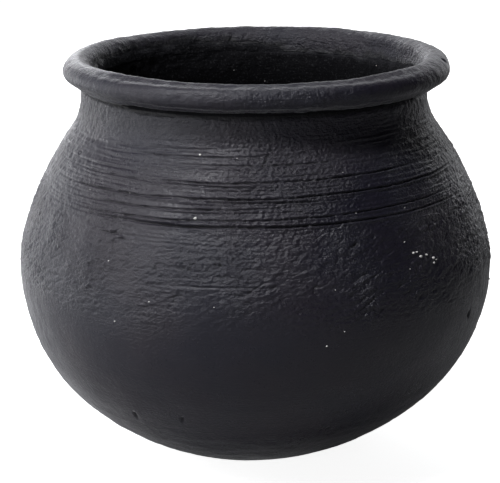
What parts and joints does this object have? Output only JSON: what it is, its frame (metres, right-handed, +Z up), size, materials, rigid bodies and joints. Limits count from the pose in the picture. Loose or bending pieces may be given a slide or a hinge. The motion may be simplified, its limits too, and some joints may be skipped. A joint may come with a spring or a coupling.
{
  "type": "cooking pot",
  "caption": "Round-bodied black clay pot with a scored shoulder, low neck, thick rolled rim and small flat foot, open at the top.",
  "frame": {"origin": "centre of the flat foot, on the surface the pot stands on", "axes": "+Z up along the pot's axis of revolution, out of the mouth; -Y is the side the reference view faces"},
  "size_m": [0.22, 0.22, 0.1876],
  "materials": {
    "black_clay": "satin",
    "pale_grit": "matte"
  },
  "bodies": {
    "root": {"moulded_bowl": "black_clay", "belly_coil": "black_clay", "lower_shoulder_coil": "black_clay", "upper_shoulder_coil": "black_clay", "neck_collar": "black_clay", "rim_coil": "black_clay"}
  },
  "joints": []
}
